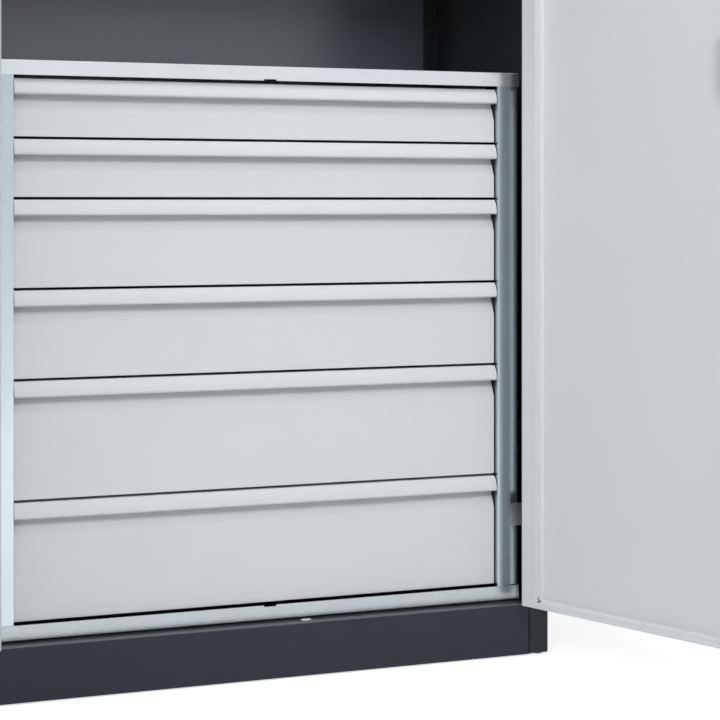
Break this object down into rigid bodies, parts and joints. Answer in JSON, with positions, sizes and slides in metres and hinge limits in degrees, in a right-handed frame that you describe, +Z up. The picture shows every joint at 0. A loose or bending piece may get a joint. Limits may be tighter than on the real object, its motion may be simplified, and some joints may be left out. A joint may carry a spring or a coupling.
{
  "type": "two-door tool cabinet with drawers",
  "caption": "Tall sheet-metal tool cabinet with hinged double doors, a block of full-width drawers on telescopic slides, adjustable shelves and a rod lock.",
  "frame": {"origin": "on the floor at the centre of the cabinet's footprint, without the open doors", "axes": "+X to the cabinet's right seen from the front, +Y to the back, +Z up"},
  "size_m": [1.4211, 0.9494, 2],
  "materials": {
    "carcass_paint": "anthracite textured powder coat",
    "door_paint": "light grey satin powder coat",
    "front_paint": "light grey satin powder coat",
    "galvanised": "smooth bright zinc-coated sheet",
    "slide_steel": "zinc-plated rolled slide steel",
    "drawer_sheet": "light grey powder coat",
    "hinge_steel": "painted steel",
    "lock_steel": "zinc-plated steel",
    "handle_plastic": "black moulded plastic",
    "key_metal": "polished nickel",
    "white_plastic": "white moulded plastic",
    "black_plastic": "black moulded plastic"
  },
  "bodies": {
    "cabinet": {"side_panel_left": "carcass_paint", "side_panel_right": "carcass_paint", "back_panel": "carcass_paint", "top_panel": "carcass_paint", "floor_panel": "carcass_paint", "plinth_front": "carcass_paint", "plinth_rear": "carcass_paint", "front_uprights": "carcass_paint", "rear_uprights": "carcass_paint", "foot_glides": "black_plastic", "block_cover": "galvanised", "block_tray": "galvanised", "block_front_posts": "galvanised", "block_rear_posts": "galvanised", "block_brackets": "galvanised", "shelf_lower": "carcass_paint", "shelf_upper": "carcass_paint", "shelf_clips": "lock_steel", "cabinet_rails": "slide_steel", "hinge_frame_halves": "hinge_steel", "bolt_keepers": "white_plastic"},
    "right_door": {"right_door_panel": "door_paint", "right_door_hinges": "hinge_steel", "lock_case": "lock_steel", "handle_plate": "handle_plastic", "rod_guides": "black_plastic"},
    "left_door": {"left_door_panel": "door_paint", "left_door_hinges": "hinge_steel", "left_closing_strip": "door_paint"},
    "lock_handle": {"turn_handle": "handle_plastic", "lock_cam": "lock_steel"},
    "key": {"key_plug": "key_metal"},
    "rod_upper": {"upper_rod": "lock_steel"},
    "rod_lower": {"lower_rod": "lock_steel"},
    "drawer_1": {"drawer_front_1": "front_paint", "drawer_box_1": "drawer_sheet", "drawer_rails_1": "slide_steel"},
    "middle_1": {"middle_rails_1": "slide_steel"},
    "drawer_2": {"drawer_front_2": "front_paint", "drawer_box_2": "drawer_sheet", "drawer_rails_2": "slide_steel"},
    "middle_2": {"middle_rails_2": "slide_steel"},
    "drawer_3": {"drawer_front_3": "front_paint", "drawer_box_3": "drawer_sheet", "drawer_rails_3": "slide_steel"},
    "middle_3": {"middle_rails_3": "slide_steel"},
    "drawer_4": {"drawer_front_4": "front_paint", "drawer_box_4": "drawer_sheet", "drawer_rails_4": "slide_steel"},
    "middle_4": {"middle_rails_4": "slide_steel"},
    "drawer_5": {"drawer_front_5": "front_paint", "drawer_box_5": "drawer_sheet", "drawer_rails_5": "slide_steel"},
    "middle_5": {"middle_rails_5": "slide_steel"},
    "drawer_6": {"drawer_front_6": "front_paint", "drawer_box_6": "drawer_sheet", "drawer_rails_6": "slide_steel"},
    "middle_6": {"middle_rails_6": "slide_steel"}
  },
  "joints": [
    {"name": "right_door_hinge", "type": "hinge", "parent": "cabinet", "child": "right_door", "pos_m": [0.48575, -0.255, 1.03], "axis": [0, 0, 1], "range_deg": [-118, 62]},
    {"name": "left_door_hinge", "type": "hinge", "parent": "cabinet", "child": "left_door", "pos_m": [-0.48575, -0.255, 1.03], "axis": [0, 0, -1], "range_deg": [-118, 62]},
    {"name": "lock_turn", "type": "hinge", "parent": "right_door", "child": "lock_handle", "pos_m": [0.67746, -0.6262, 1.05], "axis": [-0.8829, -0.4695, 0], "range_deg": [-90, 0]},
    {"name": "key_turn", "type": "hinge", "parent": "lock_handle", "child": "key", "pos_m": [0.67746, -0.6262, 1.05], "axis": [-0.8829, -0.4695, 0], "range_deg": [-90, 0]},
    {"name": "upper_rod_slide", "type": "slide", "parent": "right_door", "child": "rod_upper", "axis": [0, 0, -1], "range_m": [-0.015, 0]},
    {"name": "lower_rod_slide", "type": "slide", "parent": "right_door", "child": "rod_lower", "axis": [0, 0, 1], "range_m": [-0.015, 0]},
    {"name": "drawer_1_slide", "type": "slide", "parent": "cabinet", "child": "drawer_1", "axis": [0, -1, 0], "range_m": [0, 0.4]},
    {"name": "middle_1_slide", "type": "slide", "parent": "cabinet", "child": "middle_1", "axis": [0, -1, 0], "range_m": [0, 0.2]},
    {"name": "drawer_2_slide", "type": "slide", "parent": "cabinet", "child": "drawer_2", "axis": [0, -1, 0], "range_m": [0, 0.4]},
    {"name": "middle_2_slide", "type": "slide", "parent": "cabinet", "child": "middle_2", "axis": [0, -1, 0], "range_m": [0, 0.2]},
    {"name": "drawer_3_slide", "type": "slide", "parent": "cabinet", "child": "drawer_3", "axis": [0, -1, 0], "range_m": [0, 0.4]},
    {"name": "middle_3_slide", "type": "slide", "parent": "cabinet", "child": "middle_3", "axis": [0, -1, 0], "range_m": [0, 0.2]},
    {"name": "drawer_4_slide", "type": "slide", "parent": "cabinet", "child": "drawer_4", "axis": [0, -1, 0], "range_m": [0, 0.4]},
    {"name": "middle_4_slide", "type": "slide", "parent": "cabinet", "child": "middle_4", "axis": [0, -1, 0], "range_m": [0, 0.2]},
    {"name": "drawer_5_slide", "type": "slide", "parent": "cabinet", "child": "drawer_5", "axis": [0, -1, 0], "range_m": [0, 0.4]},
    {"name": "middle_5_slide", "type": "slide", "parent": "cabinet", "child": "middle_5", "axis": [0, -1, 0], "range_m": [0, 0.2]},
    {"name": "drawer_6_slide", "type": "slide", "parent": "cabinet", "child": "drawer_6", "axis": [0, -1, 0], "range_m": [0, 0.4]},
    {"name": "middle_6_slide", "type": "slide", "parent": "cabinet", "child": "middle_6", "axis": [0, -1, 0], "range_m": [0, 0.2]}
  ],
  "couplings": [
    {"joint": "lock_turn", "follows": "upper_rod_slide", "rad_per_m": 104.72},
    {"joint": "lower_rod_slide", "follows": "upper_rod_slide", "ratio": 1},
    {"joint": "middle_1_slide", "follows": "drawer_1_slide", "ratio": 0.5},
    {"joint": "middle_2_slide", "follows": "drawer_2_slide", "ratio": 0.5},
    {"joint": "middle_3_slide", "follows": "drawer_3_slide", "ratio": 0.5},
    {"joint": "middle_4_slide", "follows": "drawer_4_slide", "ratio": 0.5},
    {"joint": "middle_5_slide", "follows": "drawer_5_slide", "ratio": 0.5},
    {"joint": "middle_6_slide", "follows": "drawer_6_slide", "ratio": 0.5}
  ]
}
